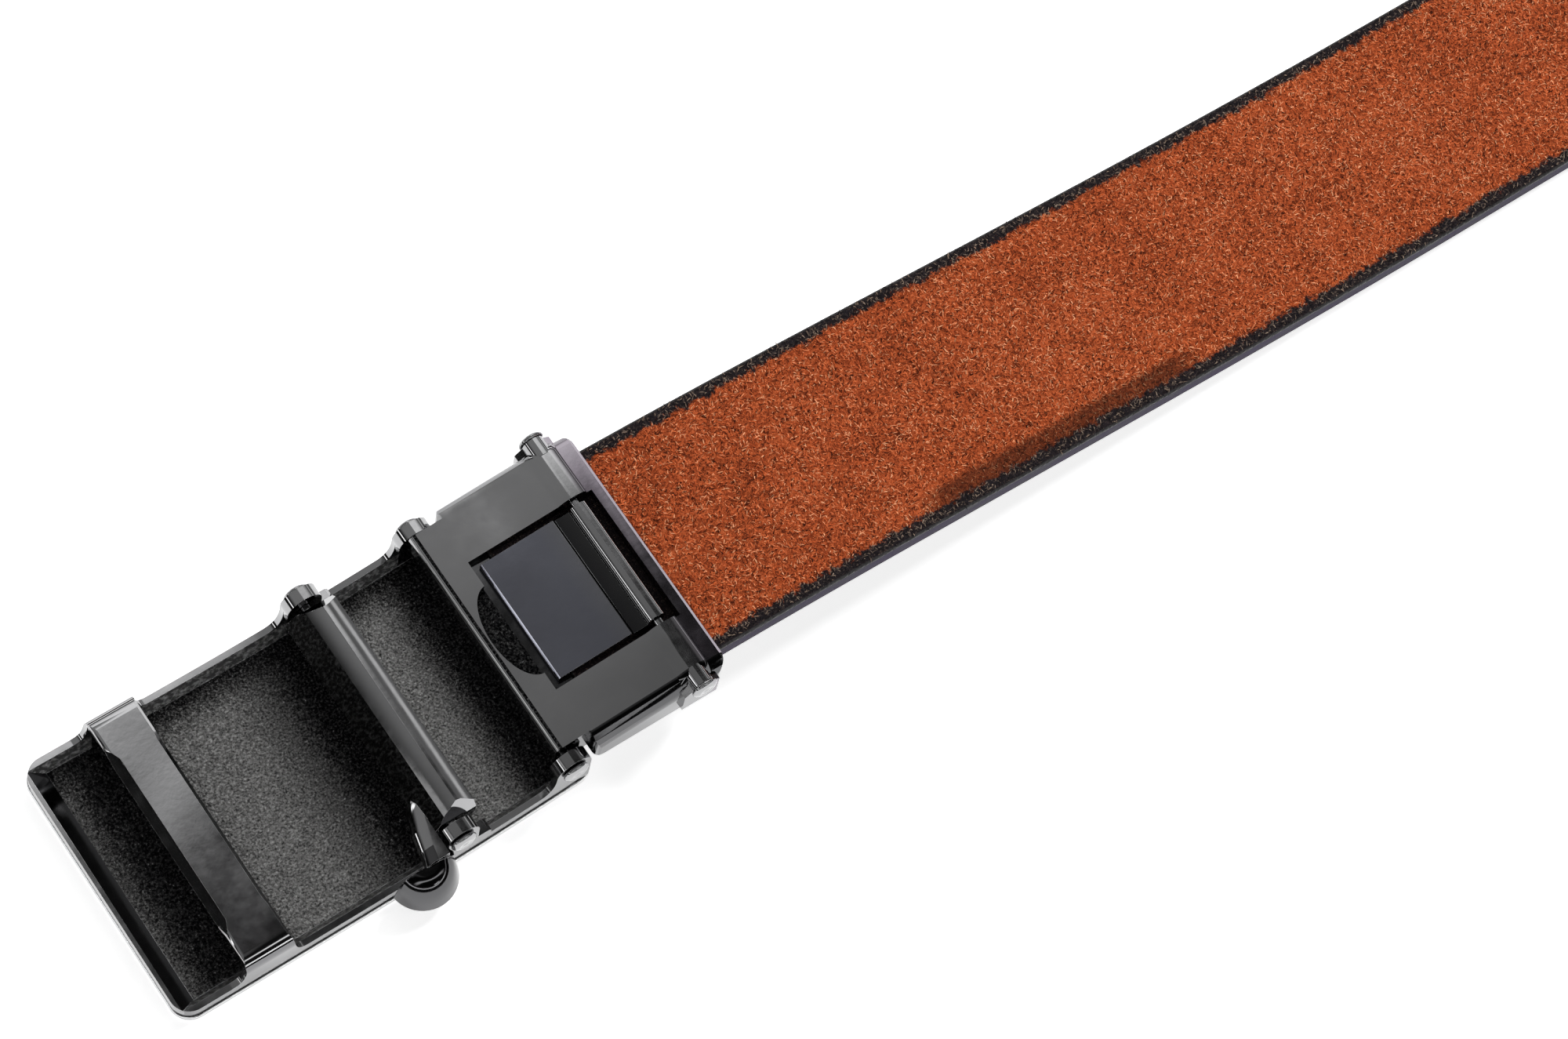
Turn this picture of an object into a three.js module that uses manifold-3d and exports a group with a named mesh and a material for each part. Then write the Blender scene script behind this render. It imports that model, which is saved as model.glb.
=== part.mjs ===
// Ratchet belt, lying face down: a dark cast buckle and a leather strap with its flesh side up.
// Millimetres. +X runs along the strap from the buckle to the free end, +Y across it, +Z up.
// The origin is on the surface that the belt lies on, under the middle of the buckle's flat front.

import * as THREE from "three";
import { mergeVertices } from "three/addons/utils/BufferGeometryUtils.js";
import Module from "manifold-3d";

const wasm = await Module();
wasm.setup();

// Strap
const STRAP_WIDTH = 34.2;
const STRAP_THICKNESS = 3.4;
const STRAP_LENGTH = 1150;
const STRAP_TIP_LENGTH = 22;
const STRAP_FALL_LENGTH = 139; // from the clamp's mouth to where the strap lies flat
const STRAP_SIDE_PLAY = 0.3;
const STRAP_LIFT_PLAY = 0.2;

// Ratchet track on the strap's inner side
const TRACK_TEETH = 36;
const TRACK_PITCH = 6.35;
const TRACK_WIDTH = 9;
const TRACK_BASE = 0.5;
const TRACK_TOOTH = 0.8;
const TRACK_FROM_TIP = 60;

// Face plate, flat at its left and bowed upwards from where the flat ends
const PLATE_LEFT = -18.3;
const PLATE_RIGHT = 46.5;
const PLATE_WIDTH = 41.2;
const PLATE_THICKNESS = 0.9;
const PLATE_CORNER = 3;
const PLATE_FLAT_END = 6;
const BOW_RADIUS = 261;
const BOW_STEPS = 18;

// Buckle frame, a cast tray on the plate
const SEAM = 0.1;
const PLATE_EDGE = 0.3; // how far the plate stands proud of the frame
const FLOOR_THICKNESS = 0.5;
const WALL_HEIGHT = 2.0;
const WALL_TOP_WIDTH = 0.9;
const WALL_SLOPE_WIDTH = 1.0;
const RIM_WIDTH = 2.9;
const FRAME_SETBACK = 1.6; // how far short of the plate's right end the frame stops

// Loop bar over the tray's left part
const BAR_LEFT = -8.3;
const BAR_RIGHT = -1.1;
const BAR_UNDERSIDE = 5.9;
const BAR_THICKNESS = 1.8;
const BAR_RAMP = 2.2;
const BAR_EDGE = 0.7;
const BAR_END_ROUNDING = 2.2;
const BAR_FLARE_FROM = 13; // the bar's top widens from here to its two ends
const BAR_FLARE_TO = 15.6;
const BAR_LEFT_CHAMFER = 1.2;
const BAR_RIGHT_CHAMFER = 0.5;
const POST_THICKNESS = 1.9;

// Pins
const PIN_RADIUS = 0.7;
const BORE_PLAY = 0.25;
const HEAD_RADIUS = 1.9;
const HEAD_THICKNESS = 0.9;
const HEAD_GAP = 0.1;
const ROUND_SIDES = 24;

// Ears of the frame and the axes they carry
const HINGE_X = 42.2;
const HINGE_Z = 9.4;
const PAWL_X = 24.6;
const PAWL_Z = 8.4;
const EAR_RADIUS = 2.7;
const EAR_FOOT = 4.8;
const EAR_SWEEP = 3.2; // how far to its left the wall starts to rise
const EAR_FOOT_HEIGHT = 3.2;

// Pawl, its lever and its knob
const PAWL_END_PLAY = 0.8;
const PAWL_BEVEL = 1.7;
const PAWL_TOP = 11.5;
const PAWL_RIDGE = 26; // where the ridge runs along the pawl's top
const PAWL_SHOULDER = 1.15; // how far the top's two flanks fall from the ridge
const PAWL_UNDERSIDE = 7;
const PAWL_LEFT = 21;
const PAWL_RIGHT = 28.4;
const TOOTH_WIDTH = 10;
const TOOTH_DEPTH = 0.3;
const LEVER_UNDERSIDE = 6.7;
const LEVER_TOP = 8.8;
const LEVER_ROLL_LOW = 7.3; // where the lever's rounded left flank turns straight down
const LEVER_INSIDE = 23.4; // where the lever's inner side lies in the pawl's body
const LEVER_RIGHT = 22.1;
const LEVER_PLAY = 0.45;
const LEVER_COURSE = [
  { y: -11.4, left: 21.7, crest: 23.2 },
  { y: -12.6, left: 20.8, crest: 23 },
  { y: -13.9, left: 20.15, crest: 22.5 },
  { y: -16.3, left: 19.4, crest: 21.6 },
  { y: -19, left: 18.8, crest: 20.85 },
  { y: -21.1, left: 18.4, crest: 20.4 },
];
const KNOB_X = 18.65;
const KNOB_SETBACK = 0.3; // how far the knob's axis lies inside the plate's near edge
const KNOB_GAP = 0.25;
const KNOB_PROFILE = [
  { radius: 4.75, z: 2.6 },
  { radius: 4.9, z: 2.9 },
  { radius: 4.6, z: 4.4 },
  { radius: 4.25, z: 5.6 },
  { radius: 3.85, z: 6.5 },
  { radius: 3.3, z: 7.2 },
  { radius: 2.6, z: 7.7 },
  { radius: 1.8, z: 7.95 },
];

// Clamp housing
const HOUSING_RIGHT = 66.8;
const HOUSING_WIDTH = 40;
const HOUSING_UNDERSIDE = 7.8;
const HOUSING_FLOOR = 0.8;
const HOUSING_TOP = 13.2; // at the left edge of the top
const HOUSING_TOP_SLOPE = 0.087;
const HOUSING_CORNER = 2.2;
const SHOULDER_ACROSS = 2;
const SHOULDER_DROP = 3;
const TONGUE_RIGHT = 45.8; // where the tongue between the ears widens to the sleeve
const TONGUE_PLAY = 0.5;
const NOSE_REACH = 1.7;
const NOSE_ROUNDING = 1;
const LUG_RADIUS = 1.35;
const LEAD_LENGTH = 1.6; // slope under the sleeve's left edge, over the passing strap
const LEAD_HEIGHT = 0.6;
const CAVITY_LEFT = 48.3;
const CLAMP_ROOF = 12.45;
const LIP_LENGTH = 2.7;
const LIP_DROP = 1.1;
const RIDGE_HALF_LENGTH = 2.1;
const RIDGE_HEIGHT = 0.6;

// Window, finger notch and flap
const WINDOW_LEFT = 45.2;
const WINDOW_RIGHT = 65;
const WINDOW_WIDTH = 21.4;
const NOTCH_LENGTH = 3.5;
const NOTCH_WIDTH = 14.6;
const NOTCH_DEPTH = 1.2;
const NOTCH_OFFSET = -0.6;
const FLAP_SIDE_GAP = 1.1;
const FLAP_LEFT_GAP = 1.2;
const FLAP_SINK = 0.3;
const FLAP_GROOVE_WIDTH = 2.8;
const FLAP_GROOVE_DEPTH = 0.5;
const FLAP_PIN_X = 62;
const FLAP_PIN_Z = 14.1;
const BARREL_RADIUS = 1.45;
const BOSS_HALF_LENGTH = 2.8;
const BOSS_PROUD = 0.7;
const BOSS_DROP = 5.2;
const BOSS_RADIUS = 1.6;

// Sizes that follow from the ones above
const plateHalf = PLATE_WIDTH / 2;
const frameHalf = plateHalf - PLATE_EDGE;
const frameLow = PLATE_THICKNESS + SEAM;
const floorTop = frameLow + FLOOR_THICKNESS;
const wallTop = floorTop + WALL_HEIGHT - FLOOR_THICKNESS;
const floorHalf = frameHalf - WALL_TOP_WIDTH - WALL_SLOPE_WIDTH;
const strapHalf = STRAP_WIDTH / 2;
const housingHalf = HOUSING_WIDTH / 2;
const tongueHalf = floorHalf - TONGUE_PLAY;
const clampFloor = HOUSING_UNDERSIDE + HOUSING_FLOOR;
const strapHeight = clampFloor + STRAP_LIFT_PLAY;
const pawlHalf = floorHalf - PAWL_END_PLAY;
const boreHalf = Math.max(plateHalf, housingHalf + BOSS_PROUD) + 1; // bores cut right through
const boreRadius = PIN_RADIUS + BORE_PLAY;
const tall = 30;

const bow = (x) =>
  x <= PLATE_FLAT_END ? 0 : BOW_RADIUS - Math.sqrt(BOW_RADIUS ** 2 - (x - PLATE_FLAT_END) ** 2);
const housingTop = (x) => HOUSING_TOP + HOUSING_TOP_SLOPE * (x - HINGE_X + NOSE_REACH);

// A closed geometry as a solid that can be joined and cut
function solid(geometry) {
  const bare = geometry.index ? geometry.toNonIndexed() : geometry.clone();
  bare.deleteAttribute("normal");
  bare.deleteAttribute("uv");
  const merged = mergeVertices(bare, 1e-4);
  return new wasm.Manifold(
    new wasm.Mesh({
      numProp: 3,
      vertProperties: merged.attributes.position.array,
      triVerts: new Uint32Array(merged.index.array),
    }),
  );
}

// A solid back as a geometry
function geometryOf(body) {
  const mesh = body.getMesh();
  const positions = new Float32Array(mesh.numVert * 3);
  for (let i = 0; i < mesh.numVert; i++) {
    positions.set(mesh.vertProperties.subarray(i * mesh.numProp, i * mesh.numProp + 3), i * 3);
  }
  const geometry = new THREE.BufferGeometry();
  geometry.setAttribute("position", new THREE.BufferAttribute(positions, 3));
  geometry.setIndex(new THREE.BufferAttribute(new Uint32Array(mesh.triVerts), 1));
  geometry.computeVertexNormals();
  return geometry;
}

const shapeOf = (points) => new THREE.Shape(points.map(([a, b]) => new THREE.Vector2(a, b)));

// A prism with its outline in the x-z plane, from y = low to y = high
function sidePrism(shape, low, high, curveSegments = 8) {
  const geometry = new THREE.ExtrudeGeometry(shape, {
    depth: high - low,
    bevelEnabled: false,
    curveSegments,
  });
  return solid(geometry.rotateX(Math.PI / 2).translate(0, high, 0));
}

// A prism with its outline in the x-y plane, from z = low to z = high
function planPrism(shape, low, high, curveSegments = 8) {
  const geometry = new THREE.ExtrudeGeometry(shape, {
    depth: high - low,
    bevelEnabled: false,
    curveSegments,
  });
  return solid(geometry.translate(0, 0, low));
}

// The geometry of a bar with its section in the y-z plane, from x = low to x = high
function sectionBar(shape, low, high, steps = 1) {
  const geometry = new THREE.ExtrudeGeometry(shape, {
    depth: high - low,
    bevelEnabled: false,
    steps,
  });
  const turned = new THREE.Matrix4().makeBasis(
    new THREE.Vector3(0, 1, 0),
    new THREE.Vector3(0, 0, 1),
    new THREE.Vector3(1, 0, 0),
  );
  return geometry.applyMatrix4(turned).translate(low, 0, 0);
}

// A solid through a row of rings, each with the same number of points, that bulge outwards.
// Seen from the row's far end, each ring runs anticlockwise.
function loft(rings) {
  const count = rings[0].length;
  const index = [];
  for (let ring = 0; ring < rings.length - 1; ring++) {
    for (let i = 0; i < count; i++) {
      const a = ring * count + i;
      const b = ring * count + ((i + 1) % count);
      index.push(a, b, b + count, a, b + count, a + count);
    }
  }
  const last = (rings.length - 1) * count;
  for (let i = 1; i < count - 1; i++) {
    index.push(0, i + 1, i, last, last + i, last + i + 1);
  }
  const geometry = new THREE.BufferGeometry();
  geometry.setAttribute("position", new THREE.Float32BufferAttribute(rings.flat(2), 3));
  geometry.setIndex(index);
  return solid(geometry);
}

// Moves each point of a geometry up by an amount worked out from where it is
function raise(geometry, amount) {
  const p = geometry.attributes.position;
  for (let i = 0; i < p.count; i++) {
    p.setZ(i, p.getZ(i) + amount(p.getX(i), p.getZ(i)));
  }
  return geometry;
}

// A round bar across the part
function roundAcross(x, z, radius, low, high) {
  const geometry = new THREE.CylinderGeometry(radius, radius, high - low, ROUND_SIDES);
  return solid(geometry.translate(x, (low + high) / 2, z));
}

const boxShape = (left, right, low, high) =>
  shapeOf([
    [left, low],
    [right, low],
    [right, high],
    [left, high],
  ]);

// A rectangle with its middle on y = 0 and its four corners rounded
function plateShape(left, right, half, leftCorner, rightCorner) {
  const shape = new THREE.Shape();
  const quarter = Math.PI / 2;
  shape.absarc(right - rightCorner, half - rightCorner, rightCorner, 0, quarter);
  shape.absarc(left + leftCorner, half - leftCorner, leftCorner, quarter, 2 * quarter);
  shape.absarc(left + leftCorner, leftCorner - half, leftCorner, 2 * quarter, 3 * quarter);
  shape.absarc(right - rightCorner, rightCorner - half, rightCorner, 3 * quarter, 4 * quarter);
  shape.closePath();
  return shape;
}

const bothSides = (make) => make(1).add(make(-1));
const span = (side, near, far) => (side > 0 ? [near, far] : [-far, -near]);

// Leather strap: level in the clamp, falling in a soft curve, then flat on the surface
function strapGeometry() {
  const mouth = HOUSING_RIGHT + 1.2;
  const start = CAVITY_LEFT + STRAP_LIFT_PLAY;
  const fall = new THREE.CubicBezierCurve(
    new THREE.Vector2(mouth, strapHeight),
    new THREE.Vector2(mouth + 0.32 * STRAP_FALL_LENGTH, 0.86 * strapHeight),
    new THREE.Vector2(mouth + 0.6 * STRAP_FALL_LENGTH, 0),
    new THREE.Vector2(mouth + STRAP_FALL_LENGTH, 0),
  );
  const tipX = strapTip();
  const along = fall.getPoints(20);
  const under = [new THREE.Vector2(start, strapHeight), ...along, new THREE.Vector2(tipX, 0)];
  const over = along.map((p, i) => {
    const t = i / (along.length - 1);
    const tangent = fall.getTangent(t);
    return new THREE.Vector2(
      p.x - tangent.y * STRAP_THICKNESS,
      p.y + tangent.x * STRAP_THICKNESS,
    );
  });
  const top = [
    new THREE.Vector2(start, strapHeight + STRAP_THICKNESS),
    new THREE.Vector2(mouth, strapHeight + STRAP_THICKNESS),
    ...over.slice(1, -1),
    new THREE.Vector2(mouth + STRAP_FALL_LENGTH, STRAP_THICKNESS),
    new THREE.Vector2(tipX, STRAP_THICKNESS),
  ];
  const side = new THREE.Shape([...under, ...top.reverse()]);
  const plan = new THREE.Shape();
  plan.moveTo(start, -strapHalf);
  plan.lineTo(tipX - STRAP_TIP_LENGTH, -strapHalf);
  const quarter = Math.PI / 2;
  plan.absellipse(tipX - STRAP_TIP_LENGTH, 0, STRAP_TIP_LENGTH, strapHalf, -quarter, quarter);
  plan.lineTo(start, strapHalf);
  plan.closePath();
  return geometryOf(
    sidePrism(side, -strapHalf, strapHalf).intersect(planPrism(plan, -1, tall, 16)),
  );
}

// Where the strap ends, so that its length along itself is STRAP_LENGTH
function strapTip() {
  const mouth = HOUSING_RIGHT + 1.2;
  const slant = Math.hypot(STRAP_FALL_LENGTH, strapHeight);
  const level = mouth - CAVITY_LEFT - STRAP_LIFT_PLAY;
  return mouth + STRAP_FALL_LENGTH + STRAP_LENGTH - level - slant;
}

// Toothed strip: one ramp and one steep face for each tooth
function trackGeometry() {
  const right = strapTip() - TRACK_FROM_TIP;
  const left = right - TRACK_TEETH * TRACK_PITCH;
  const low = STRAP_THICKNESS;
  const base = low + TRACK_BASE;
  const points = [
    [right, low],
    [right, base],
  ];
  for (let tooth = TRACK_TEETH; tooth > 0; tooth--) {
    const x = left + tooth * TRACK_PITCH;
    points.push([x - 0.2 * TRACK_PITCH, base]);
    points.push([x - 0.2 * TRACK_PITCH, base + TRACK_TOOTH]);
    points.push([x - TRACK_PITCH, base]);
  }
  points.pop();
  points.push([left, base], [left, low]);
  return geometryOf(sidePrism(shapeOf(points), -TRACK_WIDTH / 2, TRACK_WIDTH / 2));
}

// Bowed slab or tray: a section drawn along the plate and bent with it
function bowed(section, outline) {
  const bar = sectionBar(section, PLATE_LEFT, PLATE_RIGHT, BOW_STEPS);
  return solid(raise(bar, bow)).intersect(planPrism(outline, -1, tall));
}

function facePlateGeometry() {
  const outline = plateShape(PLATE_LEFT, PLATE_RIGHT, plateHalf, PLATE_CORNER, PLATE_CORNER);
  return geometryOf(bowed(boxShape(-plateHalf, plateHalf, 0, PLATE_THICKNESS), outline));
}

// The tray's outline seen from above, inside the plate's by the plate's edge
const frameLeft = PLATE_LEFT + PLATE_EDGE / 2;
const frameRight = PLATE_RIGHT - FRAME_SETBACK;
const frameOutline = () =>
  plateShape(frameLeft, frameRight, frameHalf, PLATE_CORNER - PLATE_EDGE / 2, PLATE_CORNER);

function tray() {
  const wallInner = frameHalf - WALL_TOP_WIDTH;
  const section = shapeOf([
    [-frameHalf, frameLow],
    [frameHalf, frameLow],
    [frameHalf, wallTop],
    [wallInner, wallTop],
    [floorHalf, floorTop],
    [-floorHalf, floorTop],
    [-wallInner, wallTop],
    [-frameHalf, wallTop],
  ]);
  const rim = shapeOf([
    [frameLeft, frameLow],
    [frameLeft + RIM_WIDTH, frameLow],
    [frameLeft + RIM_WIDTH, floorTop],
    [frameLeft + 0.2 * RIM_WIDTH, wallTop],
    [frameLeft, wallTop],
  ]);
  const outline = planPrism(frameOutline(), -1, tall);
  return bowed(section, frameOutline()).add(
    sidePrism(rim, -frameHalf, frameHalf).intersect(outline),
  );
}

// Loop bar on two posts, with the walls sweeping up to them in an S
function loopBar() {
  const top = BAR_UNDERSIDE + BAR_THICKNESS;
  const bar = new THREE.Shape();
  bar.moveTo(BAR_LEFT + BAR_EDGE, BAR_UNDERSIDE);
  bar.lineTo(BAR_RIGHT - 0.5 * BAR_EDGE, BAR_UNDERSIDE);
  bar.lineTo(BAR_RIGHT, BAR_UNDERSIDE + 0.5 * BAR_EDGE);
  bar.lineTo(BAR_RIGHT, top - 0.5 * BAR_EDGE);
  bar.lineTo(BAR_RIGHT - 0.5 * BAR_EDGE, top);
  bar.lineTo(BAR_LEFT + BAR_EDGE, top);
  bar.quadraticCurveTo(BAR_LEFT, top, BAR_LEFT, top - BAR_EDGE);
  bar.lineTo(BAR_LEFT, BAR_UNDERSIDE + BAR_EDGE);
  bar.quadraticCurveTo(BAR_LEFT, BAR_UNDERSIDE, BAR_LEFT + BAR_EDGE, BAR_UNDERSIDE);
  const ramp = new THREE.Shape();
  const footLeft = BAR_LEFT - BAR_RAMP;
  const footRight = BAR_RIGHT + BAR_RAMP;
  ramp.moveTo(footLeft, frameLow + 0.1);
  ramp.lineTo(footRight, frameLow + 0.1);
  ramp.lineTo(footRight, wallTop);
  ramp.bezierCurveTo(footRight - 1.4, wallTop, BAR_RIGHT + 0.2, wallTop + 1, BAR_RIGHT, top - BAR_EDGE);
  ramp.lineTo(BAR_LEFT, top - BAR_EDGE);
  ramp.bezierCurveTo(BAR_LEFT - 0.2, wallTop + 1, footLeft + 1.6, wallTop, footLeft, wallTop);
  const post = boxShape(BAR_LEFT, BAR_RIGHT, frameLow + 0.1, BAR_UNDERSIDE + BAR_EDGE);
  const ends = new THREE.Shape();
  const inset = BAR_END_ROUNDING;
  ends.moveTo(-frameHalf, 0);
  ends.lineTo(frameHalf, 0);
  ends.lineTo(frameHalf, top - inset);
  ends.quadraticCurveTo(frameHalf, top, frameHalf - inset, top);
  ends.lineTo(inset - frameHalf, top);
  ends.quadraticCurveTo(-frameHalf, top, -frameHalf, top - inset);
  const rampSpan = [frameHalf - WALL_TOP_WIDTH, frameHalf];
  const postSpan = [frameHalf - POST_THICKNESS, frameHalf];
  const body = sidePrism(bar, -frameHalf, frameHalf, 4)
    .subtract(barChamfer(BAR_LEFT, 1, BAR_LEFT_CHAMFER, top))
    .subtract(barChamfer(BAR_RIGHT, -1, BAR_RIGHT_CHAMFER, top))
    .add(bothSides((side) => sidePrism(ramp, ...span(side, ...rampSpan), 6)))
    .add(bothSides((side) => sidePrism(post, ...span(side, ...postSpan))));
  return body.intersect(solid(sectionBar(ends, footLeft - 1, footRight + 1)));
}

// What is cut from one upper edge of the bar, fading out before the bar's ends
function barChamfer(edge, inwards, size, top) {
  const ring = (y, share) => {
    const cut = size * share;
    const points = [
      [edge - 0.3 * inwards, top - cut],
      [edge, top - cut],
      [edge + cut * inwards, top],
      [edge + cut * inwards, top + 1],
      [edge - 0.3 * inwards, top + 1],
    ].map(([x, z]) => [x, y, z]);
    return inwards > 0 ? points : points.reverse();
  };
  return loft([
    ring(BAR_FLARE_TO, 0.1),
    ring(BAR_FLARE_FROM, 1),
    ring(-BAR_FLARE_FROM, 1),
    ring(-BAR_FLARE_TO, 0.1),
  ]);
}

// An ear on each wall round an axis: a round top, a low foot to its right, and on its left the
// wall sweeping up to it
function ears(x, z, footLength) {
  const base = bow(x + footLength) + frameLow + 0.1;
  const shape = new THREE.Shape();
  shape.moveTo(x - EAR_RADIUS, base);
  shape.lineTo(x + footLength, base);
  shape.lineTo(x + footLength, base + EAR_FOOT_HEIGHT - 0.4);
  shape.lineTo(x + footLength - 0.4, base + EAR_FOOT_HEIGHT);
  shape.lineTo(x + EAR_RADIUS, base + EAR_FOOT_HEIGHT);
  shape.lineTo(x + EAR_RADIUS, z);
  shape.absarc(x, z, EAR_RADIUS, 0, Math.PI);
  const sweepLeft = x - EAR_RADIUS - EAR_SWEEP;
  const low = bow(sweepLeft) + wallTop;
  const sweep = new THREE.Shape();
  sweep.moveTo(sweepLeft, low - 0.3);
  sweep.lineTo(x, low - 0.3);
  sweep.lineTo(x, z);
  sweep.lineTo(x - EAR_RADIUS, z);
  sweep.bezierCurveTo(x - EAR_RADIUS, low + 1.2, x - EAR_RADIUS - 1, low, sweepLeft, low);
  const wallSpan = [frameHalf - WALL_TOP_WIDTH, frameHalf];
  return bothSides((side) =>
    sidePrism(shape, ...span(side, floorHalf, frameHalf), 10).add(
      sidePrism(sweep, ...span(side, ...wallSpan)),
    ),
  );
}

function buckleFrameGeometry() {
  const hingeFoot = frameRight - HINGE_X;
  const body = tray()
    .add(loopBar())
    .add(ears(PAWL_X, PAWL_Z, EAR_FOOT))
    .add(ears(HINGE_X, HINGE_Z, hingeFoot));
  const bores = roundAcross(PAWL_X, PAWL_Z, boreRadius, -boreHalf, boreHalf).add(
    roundAcross(HINGE_X, HINGE_Z, boreRadius, -boreHalf, boreHalf),
  );
  return geometryOf(body.subtract(bores).subtract(leverRoom()));
}

// The pawl's lever swings down past the near ear, so that ear is cut back on its left
function leverRoom() {
  const right = LEVER_RIGHT + LEVER_PLAY;
  const low = wallTop + bow(PAWL_X);
  const shape = shapeOf([
    [PAWL_LEFT - 3, low],
    [right + 1.1, low],
    [right + 0.8, LEVER_UNDERSIDE - 1.2],
    [right, LEVER_TOP - 1],
    [right, tall],
    [PAWL_LEFT - 3, tall],
  ]);
  return sidePrism(shape, -plateHalf, 1 - floorHalf);
}

// A pin along y with a domed rivet head at each end, round y = 0
function pinGeometry(inner) {
  const dome = [
    [PIN_RADIUS, inner],
    [HEAD_RADIUS, inner],
    [HEAD_RADIUS, inner + 0.4 * HEAD_THICKNESS],
    [0.72 * HEAD_RADIUS, inner + 0.85 * HEAD_THICKNESS],
    [0.36 * HEAD_RADIUS, inner + HEAD_THICKNESS],
    [0, inner + HEAD_THICKNESS],
  ];
  const half = dome.map(([radius, y]) => new THREE.Vector2(radius, y));
  const mirrored = dome.map(([radius, y]) => new THREE.Vector2(radius, -y)).reverse();
  return new THREE.LatheGeometry([...mirrored, ...half], ROUND_SIDES);
}

// Pawl: a faceted bar with bevelled ends, a tooth under it, and a lever out to the knob
function pawlBody() {
  const width = PAWL_RIGHT - PAWL_LEFT;
  const height = PAWL_TOP - PAWL_UNDERSIDE;
  const section = shapeOf([
    [PAWL_LEFT + 0.14 * width, PAWL_UNDERSIDE],
    [PAWL_RIGHT - 0.1 * width, PAWL_UNDERSIDE],
    [PAWL_RIGHT, PAWL_UNDERSIDE + 0.14 * height],
    [PAWL_RIGHT, PAWL_TOP - PAWL_SHOULDER],
    [PAWL_RIDGE + 0.1 * width, PAWL_TOP - 0.1],
    [PAWL_RIDGE, PAWL_TOP],
    [PAWL_LEFT + 0.37 * width, PAWL_TOP - PAWL_SHOULDER],
    [PAWL_LEFT, PAWL_UNDERSIDE + 0.16 * height],
  ]);
  const tooth = shapeOf([
    [PAWL_X + 1, PAWL_UNDERSIDE + 0.3],
    [PAWL_RIGHT - 0.8, PAWL_UNDERSIDE - TOOTH_DEPTH],
    [PAWL_RIGHT - 0.4, PAWL_UNDERSIDE + 0.6],
  ]);
  const bevel = (side) =>
    solid(
      sectionBar(
        shapeOf(
          [
            [pawlHalf - PAWL_BEVEL, PAWL_TOP + 0.3],
            [pawlHalf + 0.4, PAWL_TOP - 0.6 * height],
            [pawlHalf + 2, PAWL_TOP + 2],
          ].map(([y, z]) => [side * y, z]),
        ),
        PAWL_LEFT - 1,
        PAWL_RIGHT + 1,
      ),
    );
  return sidePrism(section, -pawlHalf, pawlHalf)
    .subtract(bevel(1))
    .subtract(bevel(-1))
    .add(sidePrism(tooth, -TOOTH_WIDTH / 2, TOOTH_WIDTH / 2));
}

// Lever with a rounded left flank, and the half-round knob at its end outside the tray
function pawlLever() {
  const out = -plateHalf - KNOB_GAP;
  const steps = [0, 0.25, 0.5, 0.75, 1];
  const rings = LEVER_COURSE.map(({ y, left, crest }) => [
    [LEVER_INSIDE, y, LEVER_UNDERSIDE],
    [LEVER_INSIDE, y, LEVER_TOP],
    ...steps.map((t) => [
      crest - (crest - left) * Math.sin((t * Math.PI) / 2),
      y,
      LEVER_ROLL_LOW + (LEVER_TOP - LEVER_ROLL_LOW) * Math.cos((t * Math.PI) / 2),
    ]),
    [left + 0.3, y, LEVER_UNDERSIDE],
  ]);
  const besideEar = sidePrism(
    boxShape(LEVER_RIGHT, PAWL_RIDGE, 0, tall),
    -plateHalf - 5,
    PAWL_BEVEL - pawlHalf,
  );
  const half = KNOB_PROFILE.map(({ radius, z }) => new THREE.Vector2(radius, z));
  const low = half[0].y;
  const high = half[half.length - 1].y;
  const outline = [new THREE.Vector2(0, low), ...half, new THREE.Vector2(0, high)];
  const disc = new THREE.LatheGeometry(outline, 2 * ROUND_SIDES).rotateX(Math.PI / 2);
  const widest = 2 * half[0].x;
  const outside = boxShape(KNOB_X - widest, KNOB_X + widest, out - widest, out);
  const knob = solid(disc.translate(KNOB_X, KNOB_SETBACK - plateHalf, 0)).intersect(
    planPrism(outside, 0, tall),
  );
  return loft(rings).subtract(besideEar).add(knob);
}

function pawlGeometry() {
  const bore = roundAcross(PAWL_X, PAWL_Z, boreRadius, -boreHalf, boreHalf);
  return geometryOf(pawlBody().subtract(bore).add(pawlLever()));
}

// Tongue of the housing between the frame's ears, round the hinge pin
function tongue() {
  const left = HINGE_X - NOSE_REACH;
  const topLeft = housingTop(left);
  const shape = new THREE.Shape();
  shape.moveTo(TONGUE_RIGHT + 0.1, HINGE_Z - LUG_RADIUS + 0.3);
  shape.lineTo(TONGUE_RIGHT + 1, HINGE_Z - LUG_RADIUS + 0.6);
  shape.lineTo(TONGUE_RIGHT + 1, housingTop(TONGUE_RIGHT + 1));
  shape.lineTo(left + NOSE_ROUNDING, housingTop(left + NOSE_ROUNDING));
  shape.quadraticCurveTo(left, topLeft, left, topLeft - NOSE_ROUNDING);
  shape.lineTo(left, HINGE_Z + 0.6);
  shape.lineTo(HINGE_X - LUG_RADIUS, HINGE_Z);
  shape.absarc(HINGE_X, HINGE_Z, LUG_RADIUS, Math.PI, 1.5 * Math.PI);
  return sidePrism(shape, -tongueHalf, tongueHalf);
}

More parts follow.
